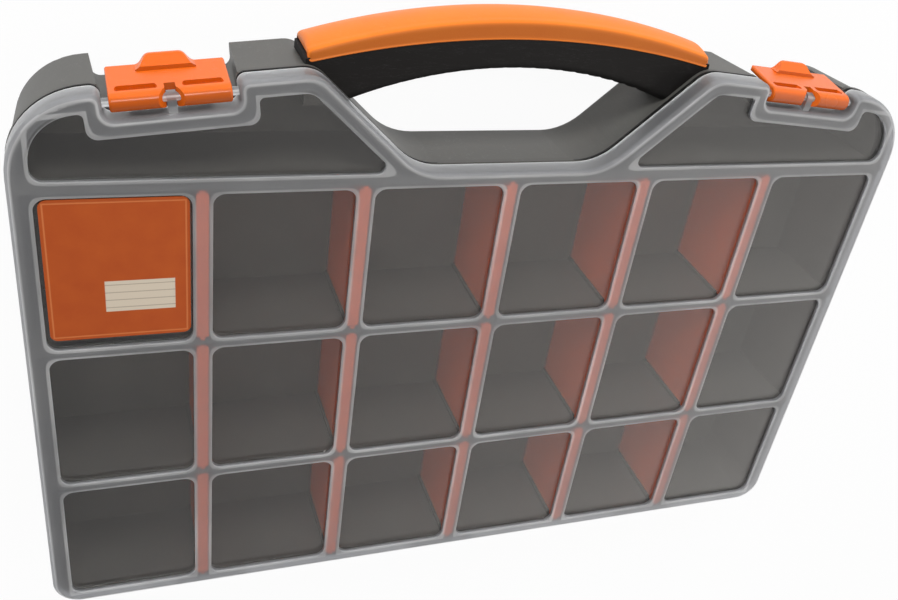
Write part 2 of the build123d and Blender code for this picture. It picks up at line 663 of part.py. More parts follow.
def make_label():
    """Thin card on the first pane."""
    width = PANE_WIDTH - LABEL_LEFT - LABEL_RIGHT
    length = ROW_PITCH - ROW_RIB - LABEL_UPPER - LABEL_LOWER
    x = -SIDE + RIM_SIDE + LABEL_LEFT + width / 2
    y = -ROW_RIB / 2 - LABEL_UPPER - length / 2
    return slab(Pos(x, y) * RectangleRounded(width, length, LABEL_R), PANE_TOP, PANE_TOP + LABEL_T)


def make_divider(row, x):
    """Lift-out plate with a thick bead along its top."""
    bottom, top = row_ends()[row]
    y = (bottom + DIVIDER_END_GAP, top - DIVIDER_END_GAP)
    high = RIB_UNDER - DIVIDER_TO_LID
    half = DIVIDER_T / 2
    bead = DIVIDER_BEAD_W / 2
    plate = block((x - half, x + half), y, (FLOOR_T, high))
    inner = (y[0] + GUIDE_REACH, y[1] - GUIDE_REACH)
    top_bead = block((x - bead, x + bead), inner, (high - DIVIDER_BEAD_H, high))
    return plate + top_bead


def save(name, piece):
    """Write one node, moved to the part's own origin."""
    moved = Pos(0, ORIGIN_SHIFT, 0) * piece
    moved.label = name
    export_step(moved, f"parts/{name}.step")
    solids = moved.solids()
    print(name, len(solids), "solid", round(sum(s.volume for s in solids) / 1000, 2), "cm3")


def main():
    os.makedirs("parts", exist_ok=True)
    save("case_body", make_case_body())
    save("lid", make_lid())
    save("latch_left", make_latch(-1))
    save("latch_right", make_latch(1))
    handle = handle_solid()
    save("handle_core", make_handle_core(handle))
    save("handle_grip", make_handle_grip(handle))
    save("label", make_label())
    for row in range(ROWS):
        for column, x in enumerate(column_lines()):
            save(f"divider_r{row + 1}_c{column + 1}", make_divider(row, x))


main()
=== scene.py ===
# %% [markdown]
# # Small parts organizer
# This lesson dresses a finished model of a flat carrying case for screws, beads and other small
# parts. The case has a dark tray, a clear lid over eighteen compartments, lift-out orange
# dividers, two orange snap latches and an arched handle with a soft orange grip.
# The solids come in as a fixed frame. Every length below is in metres, the case lies on its back,
# X runs across it, +Y points at the handle and +Z comes out through the lid.

# %% Load the frame
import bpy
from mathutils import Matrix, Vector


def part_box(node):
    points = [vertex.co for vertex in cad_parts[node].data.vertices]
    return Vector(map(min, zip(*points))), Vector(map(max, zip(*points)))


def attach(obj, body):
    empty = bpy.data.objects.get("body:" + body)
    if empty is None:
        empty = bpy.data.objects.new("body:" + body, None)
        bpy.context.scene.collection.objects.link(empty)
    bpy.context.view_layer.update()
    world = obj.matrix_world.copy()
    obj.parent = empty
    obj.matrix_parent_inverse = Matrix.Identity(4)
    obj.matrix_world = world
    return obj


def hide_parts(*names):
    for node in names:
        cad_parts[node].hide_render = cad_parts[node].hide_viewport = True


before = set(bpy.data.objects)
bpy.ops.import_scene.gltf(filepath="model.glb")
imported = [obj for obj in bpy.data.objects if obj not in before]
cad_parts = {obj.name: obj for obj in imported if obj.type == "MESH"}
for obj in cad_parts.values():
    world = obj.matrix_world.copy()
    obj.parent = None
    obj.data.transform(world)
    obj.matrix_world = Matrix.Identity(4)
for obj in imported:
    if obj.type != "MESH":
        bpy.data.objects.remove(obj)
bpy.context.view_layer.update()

# %% Tools of the lesson
import math

import bpy
import numpy as np
from mathutils import Matrix

MM = 0.001
print("one millimetre is", MM, "of a scene unit")

# %% [markdown]
# ## Where the camera stands
# A camera's place can be found by eye, by moving it until the picture fits, or by solving it from
# points whose real places are known. Here the corners of the panes are known, so the place and
# the three directions below were solved from them. A camera looks along its own -Z, so the
# matrix takes the right hand, the up direction and the backward direction as its columns.

# %% Camera
CAMERA_PLACE = (-0.16379, 0.25351, 0.38235)
CAMERA_RIGHT = (0.94072, 0.13279, 0.31211)
CAMERA_UP = (0.06606, 0.83084, -0.55258)
CAMERA_FORWARD = (0.33269, -0.54044, -0.77281)
CAMERA_LENS = 39.94         # millimetres on a sensor 36 millimetres wide


def make_camera():
    """Camera whose columns are its right, up and backward directions."""
    data = bpy.data.cameras.new("camera")
    data.lens = CAMERA_LENS
    data.sensor_width = 36.0
    data.clip_start = 0.01
    camera = bpy.data.objects.new("camera", data)
    turn = np.eye(4)
    turn[:3, 0] = CAMERA_RIGHT
    turn[:3, 1] = CAMERA_UP
    turn[:3, 2] = -np.array(CAMERA_FORWARD)
    turn[:3, 3] = CAMERA_PLACE
    camera.matrix_world = Matrix(turn.tolist())
    bpy.context.scene.collection.objects.link(camera)
    bpy.context.scene.camera = camera
    return camera


camera = make_camera()
print("camera at", [round(v / MM) for v in camera.location], "mm")

# %% [markdown]
# ## Writing materials
# A material is a small graph of nodes. Building it by hand in code means many calls, so a few
# short helpers keep the later cells readable: one starts a material and hands back its graph, one
# adds a node with its settings, and one does a sum on two values.

# %% Node helpers
def add(tree, kind, inputs=None, **settings):
    """One node, with its settings and with numbers or links on its named inputs."""
    node = tree.nodes.new("ShaderNode" + kind)
    for key, value in settings.items():
        setattr(node, key, value)
    for key, value in (inputs or {}).items():
        if isinstance(value, bpy.types.NodeSocket):
            tree.links.new(value, node.inputs[key])
        else:
            node.inputs[key].default_value = value
    return node


def math_node(tree, operation, *values):
    """Output of one sum on up to three values or sockets."""
    return add(tree, "Math", dict(enumerate(values)), operation=operation).outputs[0]


def blend_colours(tree, factor, low, high):
    """Colour that goes from low to high as the factor goes from 0 to 1."""
    node = add(tree, "Mix", {"Factor": factor}, data_type="RGBA")
    for label, value in (("A", low), ("B", high)):
        socket = next(s for s in node.inputs if s.name == label and s.type == "RGBA")
        if isinstance(value, bpy.types.NodeSocket):
            tree.links.new(value, socket)
        else:
            socket.default_value = value
    return next(s for s in node.outputs if s.type == "RGBA")


def new_material(name):
    """Empty material with its graph, its Principled shader and its output joined."""
    material = bpy.data.materials.new(name)
    material.use_nodes = True
    tree = material.node_tree
    tree.nodes.clear()
    shader = add(tree, "BsdfPrincipled")
    output = add(tree, "OutputMaterial", {"Surface": shader.outputs["BSDF"]})
    return material, tree, shader, output


def srgb(red, green, blue):
    """Linear colour of a screen colour given as 0 to 255."""
    values = np.array([red, green, blue]) / 255
    linear = np.where(values <= 0.04045, values / 12.92, ((values + 0.055) / 1.055) ** 2.4)
    return (*linear.tolist(), 1.0)


print("mid grey on screen is", round(srgb(128, 128, 128)[0], 3), "in linear light")

# %% [markdown]
# ## Moulded grain and fine scratches, shared by every plastic
# Injection moulded plastic is never quite smooth. The mould is etched or spark eroded, which
# leaves a fine even grain, and the colour drifts a little where the melt flowed. A case that is
# carried about also picks up hair-thin scratches. An image texture could show all this, but it
# would need unwrapped pieces. Noise in space needs none, so one node group gives every plastic
# here its grain height, its slow drift and its scratches, each at its own scale.

# %% Surface group
def make_surface_group():
    """Group that turns a place into a fine height, a slow drift and thin scratches, all 0 to 1."""
    group = bpy.data.node_groups.new("moulded_surface", "ShaderNodeTree")
    face = group.interface
    face.new_socket("Place", in_out="INPUT", socket_type="NodeSocketVector")
    for label, value in (("Grain Scale", 1800.0), ("Drift Scale", 25.0), ("Scratch Scale", 40.0)):
        face.new_socket(label, in_out="INPUT", socket_type="NodeSocketFloat").default_value = value
    for label in ("Height", "Drift", "Scratches"):
        face.new_socket(label, in_out="OUTPUT", socket_type="NodeSocketFloat")
    start = group.nodes.new("NodeGroupInput").outputs
    end = group.nodes.new("NodeGroupOutput").inputs
    fine = add(group, "TexNoise", {"Vector": start["Place"], "Scale": start["Grain Scale"],
                                   "Detail": 2.0, "Roughness": 0.6})
    pits = add(group, "TexVoronoi", {"Vector": start["Place"], "Scale": start["Grain Scale"]})
    both = math_node(group, "MULTIPLY", fine.outputs[0], pits.outputs["Distance"])
    slow = add(group, "TexNoise", {"Vector": start["Place"], "Scale": start["Drift Scale"],
                                   "Detail": 3.0})
    lanes = add(group, "Mapping", {"Vector": start["Place"], "Rotation": (0.3, 0.2, 0.6),
                                   "Scale": (1.0, 9.0, 1.0)})
    wander = add(group, "TexNoise", {"Vector": lanes.outputs[0], "Scale": start["Scratch Scale"],
                                     "Detail": 4.0, "Roughness": 0.7})
    near = math_node(group, "ABSOLUTE", math_node(group, "SUBTRACT", wander.outputs[0], 0.5))
    lines = add(group, "MapRange", {"Value": near, "From Min": 0.0, "From Max": 0.006,
                                    "To Min": 1.0, "To Max": 0.0})
    group.links.new(both, end["Height"])
    group.links.new(slow.outputs[0], end["Drift"])
    group.links.new(lines.outputs["Result"], end["Scratches"])
    return group


surface_group = make_surface_group()
print("surface group gives:", [s.name for s in surface_group.interface.items_tree
                               if s.in_out == "OUTPUT"])

# %% Plastic maker
def add_surface(tree, grain_scale, drift_scale, scratch_scale=40.0):
    """The surface group placed in a material, reading the piece's own coordinates."""
    place = add(tree, "TexCoord").outputs["Object"]
    node = add(tree, "Group", node_tree=surface_group)
    tree.links.new(place, node.inputs["Place"])
    node.inputs["Grain Scale"].default_value = grain_scale
    node.inputs["Drift Scale"].default_value = drift_scale
    node.inputs["Scratch Scale"].default_value = scratch_scale
    return node


def make_plastic(name, low, high, roughness, spread, bump, grain_scale=1800.0,
                 drift_scale=25.0, worn=0.05, gloss=0.5):
    """Moulded plastic: colour between two tones by drift, roughness by drift, grain as bump."""
    material, tree, shader, _ = new_material(name)
    surface = add_surface(tree, grain_scale, drift_scale)
    tone = blend_colours(tree, surface.outputs["Drift"], low, high)
    mark = math_node(tree, "MULTIPLY", surface.outputs["Scratches"], worn)
    pale = tuple(min(1.0, 0.35 + 0.65 * v) for v in high[:3]) + (1.0,)
    rough = add(tree, "MapRange", {"Value": surface.outputs["Drift"],
                                   "To Min": roughness - spread, "To Max": roughness + spread})
    dents = add(tree, "Bump", {"Height": surface.outputs["Height"], "Strength": bump,
                               "Distance": 0.05 * MM})
    tree.links.new(blend_colours(tree, mark, tone, pale), shader.inputs["Base Color"])
    tree.links.new(rough.outputs["Result"], shader.inputs["Roughness"])
    tree.links.new(dents.outputs["Normal"], shader.inputs["Normal"])
    shader.inputs["Specular IOR Level"].default_value = gloss
    return material


def dress(names, material):
    """Puts one material on every slot of the named pieces."""
    for name in names:
        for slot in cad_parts[name].material_slots:
            slot.material = material
    print(material.name, "on", len(names), "pieces")


print("plastic maker ready")

# %% [markdown]
# ## The tray
# The back half of the case is one dark grey moulding with an etched outside. Its colour could be
# one flat grey, but real recycled grey plastic is faintly mottled, so two close greys are mixed
# by the slow drift and the grain is left coarse enough to break up the light on the shoulders.

# %% Tray
ROW_TOP = 78.0 * MM             # the top of the first row; the rows run down from here
JOINT_LOW, JOINT_HIGH = 38.7 * MM, 41.6 * MM    # the open joint under the lid's skirt
JOINT_SOFT = 0.15 * MM
JOINT_SHADE = 0.95               # how much of the grey the painted shadow hides
WALL_INSIDE = 187.8 * MM        # past these three the joint's own faces lie
WALL_NEAR_HANDLE = ROW_TOP + 3.4 * MM
WALL_NEAR_HINGE = ROW_TOP - 209.3 * MM

tray_grey = make_plastic("tray_grey", srgb(78, 77, 74), srgb(95, 94, 90), 0.5, 0.06, 0.45,
                         grain_scale=1300.0, drift_scale=60.0, worn=0.08, gloss=0.4)


def paint_joint_shadow(material):
    """Painted shadow in the open joint: near black between its two heights, on the outer faces
    only.
    """
    tree = material.node_tree
    shader = tree.nodes["Principled BSDF"]
    colour = shader.inputs["Base Color"].links[0].from_socket
    xyz = add(tree, "SeparateXYZ", {0: add(tree, "TexCoord").outputs["Object"]}).outputs
    off = math_node(tree, "ABSOLUTE", math_node(tree, "SUBTRACT", xyz["Z"],
                                                (JOINT_LOW + JOINT_HIGH) / 2))
    half = (JOINT_HIGH - JOINT_LOW) / 2
    near = add(tree, "MapRange", {"Value": off, "From Min": half - JOINT_SOFT, "From Max": half,
                                  "To Min": JOINT_SHADE, "To Max": 0.0}).outputs["Result"]
    outer = math_node(tree, "GREATER_THAN", math_node(tree, "ABSOLUTE", xyz["X"]), WALL_INSIDE)
    upper = math_node(tree, "GREATER_THAN", xyz["Y"], WALL_NEAR_HANDLE)
    lower = math_node(tree, "LESS_THAN", xyz["Y"], WALL_NEAR_HINGE)
    outside = math_node(tree, "MAXIMUM", outer, math_node(tree, "MAXIMUM", upper, lower))
    # painted shadow: the joint's outer faces are darkened as if in shade
    joint_shadow = math_node(tree, "MULTIPLY", near, outside)
    tree.links.new(blend_colours(tree, joint_shadow, colour, srgb(10, 10, 10)),
                   shader.inputs["Base Color"])


# The open joint under the skirt is painted near black as its shadow.
paint_joint_shadow(tray_grey)
dress(["case_body"], tray_grey)

# %% [markdown]
# ## Dividers
# The dividers are thin orange plates with a thicker bead along the top, moulded from a softer,
# slightly waxy plastic. They are seen through the lid, which already dulls them, so their own
# colour is a strong orange and their surface a satin one.

# %% Dividers
divider_orange = make_plastic("divider_orange", srgb(248, 105, 45), srgb(255, 121, 58), 0.42,
                              0.05, 0.35)
dividers = sorted(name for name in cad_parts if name.startswith("divider_"))
dress(dividers, divider_orange)

# %% [markdown]
# ## The latches
# Each latch is a snap moulding in bright orange. Its thumb tab is a ramp, so that the thumb slides
# up against the top edge and pulls the latch open. The solid has a plain upright tab. A new tab
# could be built from nothing, but the solid's own points are enough: each point of the tab moves
# back by its rise over the plate, times its share of the way to the front, and the flat front
# becomes a flat ramp. The long slots in the two wings are opened a little the same way. The
# solid's mesh is loose triangles, so a copy with its corners joined is made first.

# %% Joined copy of a solid
JOIN_STEP = 0.001 * MM


def joined_copy(name, source, reshape=None):
    """Copy of a mesh with corners closer than a micron made one, keeping each corner's normal.

    A reshape function, where there is one, takes the points and the corners' places and normals
    and gives back the new points and the new normals."""
    mesh = source.data
    points = np.empty(3 * len(mesh.vertices), dtype=np.float32)
    mesh.vertices.foreach_get("co", points)
    points = points.reshape(-1, 3)
    keys = np.round(points / JOIN_STEP).astype(np.int64)
    _, first, index = np.unique(keys, axis=0, return_index=True, return_inverse=True)
    corners = np.empty(len(mesh.loops), dtype=np.int32)
    mesh.loops.foreach_get("vertex_index", corners)
    normals = np.empty(3 * len(mesh.loops), dtype=np.float32)
    mesh.corner_normals.foreach_get("vector", normals)
    faces = index.reshape(-1)[corners].reshape(-1, 3)
    whole = ((faces[:, 0] != faces[:, 1]) & (faces[:, 1] != faces[:, 2])
             & (faces[:, 2] != faces[:, 0]))
    places, faces, normals = points[first], faces[whole], normals.reshape(-1, 3, 3)[whole]
    if reshape:
        places, normals = reshape(places, faces, normals)
    joined = bpy.data.meshes.new(name)
    joined.from_pydata(places.tolist(), [], faces.tolist())
    joined.polygons.foreach_set("use_smooth", np.ones(len(faces), dtype=bool))
    joined.normals_split_custom_set(normals.reshape(-1, 3).tolist())
    piece = bpy.data.objects.new(name, joined)
    bpy.context.scene.collection.objects.link(piece)
    return piece, places[faces]


print("joined copies ready")

# %% Latches
NOTCH_PLACE = (134.184 * MM, ROW_TOP + 28.985 * MM)     # middle of a latch notch's floor
NOTCH_TILT = math.radians(5.7)
PLATE_TOP = 11.0 * MM           # out from the notch's floor, at the plate's free end
TAB_END, TAB_FRONT = 27.5 * MM, 32.7 * MM       # heights of the tab's free end and its front
TAB_LEAN = 1.0                  # how far the front leans back for each millimetre of rise
POCKET_HEIGHTS = (42.8 * MM, 44.0 * MM)         # heights of the lower half of each wing's slot
POCKET_STRETCH = 1.5            # how much the slot's lower half grows downwards
POCKET_ACROSS = (4.2 * MM, 18.6 * MM)
SLOT_FLOOR = 7.3 * MM           # out from the notch's floor
HEIGHT_SLACK = 0.02 * MM        # points this close to a height lie on it


def lean_tab(side):
    """Reshape for one latch: the tab's front leans back in step with its rise over the plate.

    Every point of the tab moves, by its share of the way from the free end to the front. The
    slot in each wing is opened downwards, by stretching its lower half away from its middle."""
    outwards = np.array([side * math.sin(NOTCH_TILT), math.cos(NOTCH_TILT)])
    place = np.array([side * NOTCH_PLACE[0], NOTCH_PLACE[1]])

    def reshape(points, faces, normals):
        rise = np.clip((points[:, :2] - place) @ outwards - PLATE_TOP, 0, None)
        share = np.clip((points[:, 2] - TAB_END) / (TAB_FRONT - TAB_END), 0, 1)
        moved = points.copy()
        moved[:, 2] -= TAB_LEAN * rise * share
        across = np.abs((points[:, :2] - place) @ np.array([outwards[1], -outwards[0]]))
        pocket = (across > POCKET_ACROSS[0]) & (across < POCKET_ACROSS[1])
        pocket &= (points[:, 2] > POCKET_HEIGHTS[0]) & (points[:, 2] < POCKET_HEIGHTS[1])
        pocket &= (points[:, :2] - place) @ outwards > SLOT_FLOOR
        moved[pocket, 2] += POCKET_STRETCH * (points[pocket, 2] - POCKET_HEIGHTS[1])
        front = np.abs(points[:, 2] - TAB_FRONT) < HEIGHT_SLACK
        front &= (points[:, :2] - place) @ outwards > PLATE_TOP - HEIGHT_SLACK
        ramp = np.array([*(TAB_LEAN * outwards), 1.0]) / math.hypot(TAB_LEAN, 1.0)
        turned = normals.copy()
        turned[np.all(front[faces], axis=1)] = ramp
        return moved, turned
    return reshape


SIDE_LEVELS = (0.7, 0.95)       # upward parts of a normal at which the painted shade comes in
SIDE_SHADE = (0.02, 0.0, 0.0, 1)


def paint_lidward_shade(material, share):
    """Painted shade: a deeper colour on the faces that look the lid's way, so that they stand off
    the plates.
    """
    tree = material.node_tree
    shader = tree.nodes["Principled BSDF"]
    colour = shader.inputs["Base Color"].links[0].from_socket
    level = add(tree, "SeparateXYZ", {0: add(tree, "TexCoord").outputs["Normal"]}).outputs["Z"]
    facing = add(tree, "MapRange", {"Value": level, "From Min": SIDE_LEVELS[0],
                                    "From Max": SIDE_LEVELS[1], "To Min": 0.0, "To Max": share})
    tree.links.new(blend_colours(tree, facing.outputs["Result"], colour, SIDE_SHADE),
                   shader.inputs["Base Color"])


latch_orange = make_plastic("latch_orange", srgb(228, 98, 14), srgb(238, 112, 20), 0.26, 0.05,
                            0.2, grain_scale=2200.0, gloss=0.45)
# painted shade on the latch faces that look the lid's way
paint_lidward_shade(latch_orange, 0.36)
for side, word in ((-1, "left"), (1, "right")):
    latch, latch_corners = joined_copy("latch_cover_" + word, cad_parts["latch_" + word],
                                       lean_tab(side))
    latch.data.materials.append(latch_orange)
    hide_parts("latch_" + word)
    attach(latch, "latch_" + word)
    print(latch.name, len(latch_corners), "triangles")

# %% [markdown]
# ## The handle
# The handle is a stiff black bar with a soft orange cap moulded over its top, where the hand
# lies. The bar's solid is good as it is, but the cap deserves its own surface. A box with rounded
# edges would be quick, but the real cap has a crowned top, a crease where the top turns into the
# side, and a thin lip along its lower edge. All of these run the whole length, so one profile of
# the cross section is worked out as an array and carried along the arch, and only the parts of it
# that belong to the lower edge move with that edge.

# %% Closed surface from rings
def closed_mesh(name, rings, sharp_angle=0.6):
    """Piece from rings of points, shape (rings, points, 3), closed by a face at each end."""
    count, around = rings.shape[:2]
    index = np.arange(count * around).reshape(count, around)
    index = np.hstack([index, index[:, :1]])
    quads = np.stack([index[:-1, :-1], index[1:, :-1], index[1:, 1:], index[:-1, 1:]], axis=-1)
    flat = rings.reshape(-1, 3)
    quads = quads.reshape(-1, 4)
    a, b, c, d = (flat[quads[:, corner]] for corner in range(4))
    volume = np.sum(np.cross(b - a, c - a) * (a + b + c) + np.cross(c - a, d - a) * (a + c + d))
    ends = [index[0, :-1][::-1], index[-1, :-1]]
    if volume < 0:
        quads = quads[:, ::-1]
        ends = [end[::-1] for end in ends]
    mesh = bpy.data.meshes.new(name)
    mesh.from_pydata(flat.tolist(), [], quads.tolist() + [end.tolist() for end in ends])
    mesh.polygons.foreach_set("use_smooth", np.ones(len(mesh.polygons), dtype=bool))
    mesh.set_sharp_from_angle(angle=sharp_angle)
    piece = bpy.data.objects.new(name, mesh)
    bpy.context.scene.collection.objects.link(piece)
    return piece


print("ring surfaces ready")

# %% Grip surface
GRIP_LOW, GRIP_HIGH = (np.array(corner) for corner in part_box("handle_grip"))
GRIP_HALF_SPAN = GRIP_HIGH[0] - 0.6 * MM
GRIP_HALF_DEPTH = (GRIP_HIGH[2] - GRIP_LOW[2]) / 2
TOP_ARC_R = 287.8 * MM
EDGE_ARC_R = 351.4 * MM
GRIP_DEPTH_MIDDLE = 7.1 * MM
GRIP_PROUD = 0.5 * MM           # how far the cap stands out from the bar's sides
GRIP_LAP = 1.8 * MM             # how far its skirt comes down over them
CHANNEL_HALF = 7.85 * MM        # the bar's raised middle fits in a channel under the cap
CHANNEL_TOP = 2.9 * MM
CHANNEL_REACH = GRIP_HIGH[0] - 3.2 * MM
END_ROUND = 1.8 * MM
CROWN = 1.5 * MM                # fall of the top from its middle to the crease
CREASE_R = 2.4 * MM
SET_BACK = 0.35 * MM            # how far the side lies behind the lip
LIP_R = 0.22 * MM
SKIRT_GAP = 0.06 * MM


def arc_fall(radius, along):
    """Fall of a circle below its top, at a distance along from it."""
    return radius - np.sqrt(radius ** 2 - along ** 2)


def grip_profile():
    """Half section from the crown to the channel: across, down, and share of the lower edge.

    The top is a parabola, the crease a quarter circle, the side a straight line set back behind
    the lip, and the lip a small half round at the foot of a thin skirt over the bar's side."""
    outer = GRIP_HALF_DEPTH + GRIP_PROUD
    side = outer - SET_BACK
    t = np.linspace(0, 1, 9)
    top = np.stack([t * (side - CREASE_R), CROWN * t ** 2, 0 * t])
    turn = np.linspace(0.2, 1, 7) * math.pi / 2
    crease = np.stack([side - CREASE_R + CREASE_R * np.sin(turn),
                       CROWN + CREASE_R * (1 - np.cos(turn)), 0 * turn])
    low, foot = GRIP_DEPTH_MIDDLE, GRIP_DEPTH_MIDDLE + GRIP_LAP
    t = t[1:]
    flank = np.stack([side + 0 * t, CROWN + CREASE_R + t * (foot - 4.5 * LIP_R - CROWN - CREASE_R),
                      t])
    bend = np.linspace(-0.9, math.pi / 2, 8)
    lip = np.stack([outer - LIP_R + LIP_R * np.cos(bend),
                    foot - LIP_R + LIP_R * np.sin(bend), 1 + 0 * bend])
    inner = GRIP_HALF_DEPTH + SKIRT_GAP
    channel = np.array([[inner, foot, 1], [inner, low, 1], [CHANNEL_HALF, low, 1],
                        [CHANNEL_HALF, CHANNEL_TOP, 2], [CHANNEL_HALF / 2, CHANNEL_TOP, 2]]).T
    return np.hstack([top, crease, flank, lip, channel])


def make_grip():
    """The profile and its mirror image, carried along the arch and rounded in at both ends."""
    across, down, share = grip_profile()
    across = np.concatenate([across, [0.0], -across[:0:-1]])
    down = np.concatenate([down, [CHANNEL_TOP], down[:0:-1]])
    share = np.concatenate([share, [2.0], share[:0:-1]])
    rounding = GRIP_HALF_SPAN - END_ROUND * (1 - np.sin(np.linspace(0, math.pi / 2, 7)))
    steps = np.linspace(0, CHANNEL_REACH, 49)
    half = np.concatenate([steps, [CHANNEL_REACH + 0.1 * MM], rounding])
    x = np.concatenate([-half[:0:-1], half])[:, None]
    depth = GRIP_DEPTH_MIDDLE + arc_fall(EDGE_ARC_R, x) - arc_fall(TOP_ARC_R, x)
    opened = np.where(np.abs(x) <= CHANNEL_REACH, 1.0, 0.01)
    fall = down + np.clip(share, 0, 1) * (depth - GRIP_DEPTH_MIDDLE)
    fall = np.where(share > 1.5, depth - opened * (depth - CHANNEL_TOP), fall)
    past = np.clip(np.abs(x) - (GRIP_HALF_SPAN - END_ROUND), 0, END_ROUND)
    inset = END_ROUND - np.sqrt(END_ROUND ** 2 - past ** 2)
    fall = depth / 2 + (fall - depth / 2) * (1 - 2 * inset / depth)
    width = across * (1 - inset / GRIP_HALF_DEPTH)
    y = GRIP_HIGH[1] - arc_fall(TOP_ARC_R, x) - fall
    z = (GRIP_LOW[2] + GRIP_HIGH[2]) / 2 + width
    return closed_mesh("grip_cap", np.stack([np.broadcast_to(x, y.shape), y, z], axis=-1))


grip_orange = make_plastic("grip_orange", srgb(234, 120, 32), srgb(246, 136, 44), 0.46, 0.08, 0.6,
                           grain_scale=1500.0, drift_scale=45.0, gloss=0.35)
# painted shade on the grip's side, which looks the lid's way
paint_lidward_shade(grip_orange, 0.44)
grip = make_grip()
grip.data.materials.append(grip_orange)
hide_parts("handle_grip")
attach(grip, "case")
print("grip:", len(grip.data.polygons), "faces, arch", round(2 * GRIP_HALF_SPAN / MM), "mm long")

# %% [markdown]
# ## The bar under the grip
# The bar is a stiff black moulding with finger grooves on its underside. Its solid has them
# already, so it only needs a finish. Black plastic is never quite black: it is a very dark warm
# grey with a dull, finely grained skin.

# %% Bar
handle_black = make_plastic("handle_black", srgb(16, 14, 13), srgb(22, 20, 19), 0.6, 0.06, 0.5,
                            gloss=0.22)
dress(["handle_core"], handle_black)

# %% [markdown]
# ## The label
# A card label lies in the first pane. It could be a flat colour, but a printed card has a thin
# pale border and a panel left white to write on, so both are drawn from the card's own width and
# height. A rectangle's mask is 1 where the distance from its middle is under half its size in
# both directions, and the border is one rectangle taken away from a larger one.

# %% Label
LABEL_MIDDLE = tuple((low + high) / 2 for low, high in zip(*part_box("label")))
LABEL_SIZE = tuple(high - low for low, high in zip(*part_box("label")))
PANEL_MIDDLE = (LABEL_MIDDLE[0] + 7.5 * MM, LABEL_MIDDLE[1] - 11.5 * MM)
PANEL_SIZE = (26.0 * MM, 14.0 * MM)
BORDER_INSETS = (1.0 * MM, 1.6 * MM)
RULE_PITCH = 3.4 * MM


def rectangle(tree, xyz, middle, size, soft=0.25 * MM):
    """1 inside a rectangle in the XY plane and 0 outside, with a soft edge."""
    sides = []
    for axis, centre, width in zip("XY", middle, size):
        off = math_node(tree, "SUBTRACT", xyz.outputs[axis], centre)
        room = math_node(tree, "SUBTRACT", width / 2, math_node(tree, "ABSOLUTE", off))
        sides.append(math_node(tree, "DIVIDE", room, soft))
    inside = math_node(tree, "MINIMUM", *sides)
    return add(tree, "Clamp", {"Value": inside}).outputs[0]


def make_label_card():
    """Orange card with paper fibre, a pale border line and a white panel with faint rules."""
    material, tree, shader, _ = new_material("label_card")
    surface = add_surface(tree, 900.0, 120.0)
    xyz = add(tree, "SeparateXYZ", {0: add(tree, "TexCoord").outputs["Object"]})
    paper = blend_colours(tree, surface.outputs["Drift"], srgb(170, 68, 14), srgb(188, 86, 24))
    outer, inner = (rectangle(tree, xyz, LABEL_MIDDLE, [s - 2 * inset for s in LABEL_SIZE[:2]])
                    for inset in BORDER_INSETS)
    border = math_node(tree, "SUBTRACT", outer, inner)
    panel = rectangle(tree, xyz, PANEL_MIDDLE, PANEL_SIZE)
    rules = math_node(tree, "FRACT", math_node(tree, "MULTIPLY", xyz.outputs["Y"], 1 / RULE_PITCH))
    rules = math_node(tree, "MULTIPLY", math_node(tree, "LESS_THAN", rules, 0.12), 0.45)
    lined = blend_colours(tree, rules, srgb(214, 200, 180), srgb(120, 96, 80))
    framed = blend_colours(tree, math_node(tree, "MULTIPLY", border, 0.5), paper,
                           srgb(226, 140, 84))
    tree.links.new(blend_colours(tree, panel, framed, lined), shader.inputs["Base Color"])
    rough = add(tree, "MapRange", {"Value": surface.outputs["Drift"], "To Min": 0.45,
                                   "To Max": 0.6})
    dents = add(tree, "Bump", {"Height": surface.outputs["Height"], "Strength": 0.2,
                               "Distance": 0.05 * MM})
    tree.links.new(rough.outputs["Result"], shader.inputs["Roughness"])
    tree.links.new(dents.outputs["Normal"], shader.inputs["Normal"])
    return material


dress(["label"], make_label_card())

# %% [markdown]
# ## The lid
# The lid is one clear moulding, but it doesn't look like one. Its panes come off a polished part
# of the mould and are glass clear, while its rim and ribs come off an etched part and look milky.
# One material with a mask could show both. Two materials are better, because how much light a
# surface lets through has to be a plain number for each of them. So a joined copy of the
# solid is made, and each triangle is given its finish by its place: the panes' faces are the
# level ones at two known heights.

# %% Joined copy of the lid
lid, lid_corners = joined_copy("lid_cover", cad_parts["lid"])
print("lid copy:", len(lid.data.vertices), "points,", len(lid.data.polygons), "triangles")

# %% [markdown]
# ## Where the panes' edges are
# Thin light lines follow the edges of the panes. They could be modelled as narrow strips, but here
# they are painted light, given to the surface as a light of its own. A pattern needs to know how
# far a place is from the nearest edge, and all the panes lie on one grid with known pitches, so
# that distance is worked out in a node group from a few straight lines.

# %% Distance to the nearest pane
COLUMN_PITCH = 62.21667 * MM
ROW_PITCH = 70.5 * MM
PANE_HALF = (27.358 * MM, 32.95 * MM)
GRID_SIDE = 182.9 * MM
GRID_TOP, GRID_BOTTOM = -2.3 * MM, -206.2 * MM      # from the top of the first row
CORNER_BLEND = 8.3 * MM                             # rounds a corner of 4.7 mm
TILT = math.radians(5.7)                            # of the shoulders beside the handle
SLOPE = math.radians(43.5)                          # of the handle recess's ends
POCKET_BOTTOM = 4.3 * MM
POCKET_FOOT = (56.391 * MM, 9.476 * MM)
POCKET_TOP = 45.665 * MM                            # along the tilted direction
NOTCH_FLOOR = 35.665 * MM
NOTCH_MIDDLE, NOTCH_HALF = 130.635 * MM, 29.798 * MM


